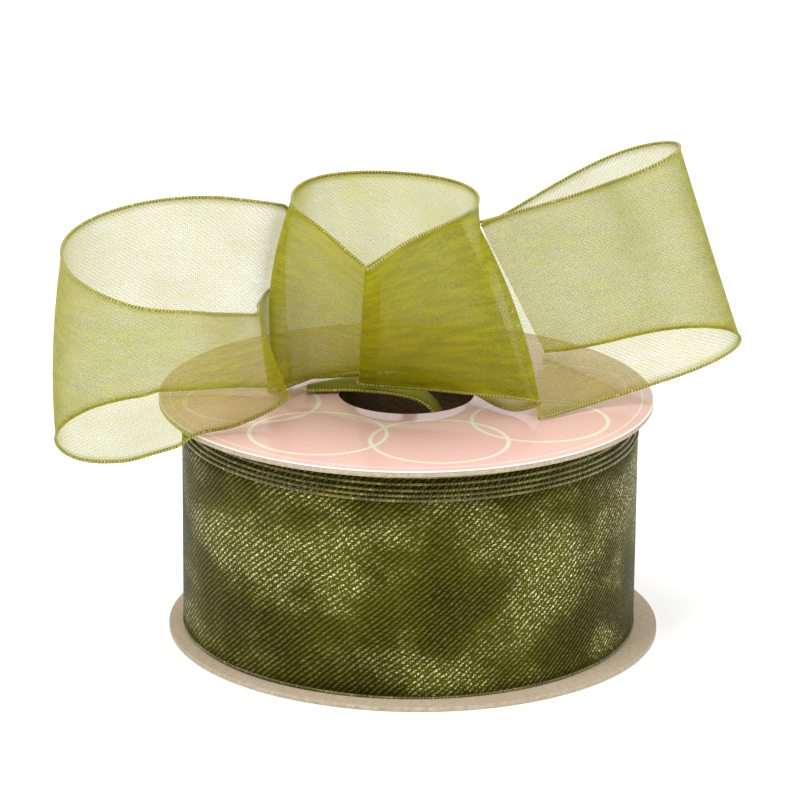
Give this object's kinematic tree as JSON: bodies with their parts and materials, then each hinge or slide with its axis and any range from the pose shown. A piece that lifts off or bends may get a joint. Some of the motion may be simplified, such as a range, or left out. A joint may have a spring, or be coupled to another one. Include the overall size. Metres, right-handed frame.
{
  "type": "ribbon spool",
  "caption": "Cardboard spool wound with sheer ribbon, with a looped bow of the same ribbon standing on its upper flange.",
  "frame": {"origin": "middle of the outline at the level of the lower flange's printed face, which the spool stands on", "axes": "+Z along the spool's axis and up, +X towards the narrow raised loop, -Y towards the side that the centre loop's V opening faces"},
  "size_m": [0.1274, 0.0938, 0.0937],
  "materials": {
    "printed_paper": "glossy printed paper, pink with a pale line pattern",
    "chipboard": "raw kraft chipboard",
    "kraft_tube": "raw spiral-wound kraft board",
    "wound_organza": "sheer moss green organza with gold glints, many layers deep",
    "loop_organza": "sheer moss green organza, a single layer, with gold glints",
    "corded_edge": "overlocked corded selvedge with gold thread"
  },
  "bodies": {
    "spool": {"lower_flange_label": "printed_paper", "lower_flange_board": "chipboard", "core_tube": "kraft_tube", "upper_flange_board": "chipboard", "upper_flange_label": "printed_paper", "wound_ribbon": "wound_organza", "outer_turn_1": "wound_organza", "outer_turn_2": "wound_organza", "outer_turn_3": "wound_organza", "outer_turn_4": "wound_organza", "outer_turn_5": "wound_organza"},
    "bow": {"left_loop": "loop_organza", "left_loop_upper_edge": "corded_edge", "left_loop_lower_edge": "corded_edge", "centre_loop": "loop_organza", "centre_loop_upper_edge": "corded_edge", "centre_loop_lower_edge": "corded_edge", "right_loop": "loop_organza", "right_loop_upper_edge": "corded_edge", "right_loop_lower_edge": "corded_edge", "bow_tail": "loop_organza", "bow_tail_front_edge": "corded_edge"}
  },
  "joints": [
    {"name": "bow_lift", "type": "slide", "parent": "spool", "child": "bow", "axis": [0, 0, 1], "range_m": [0, 0.05]}
  ]
}
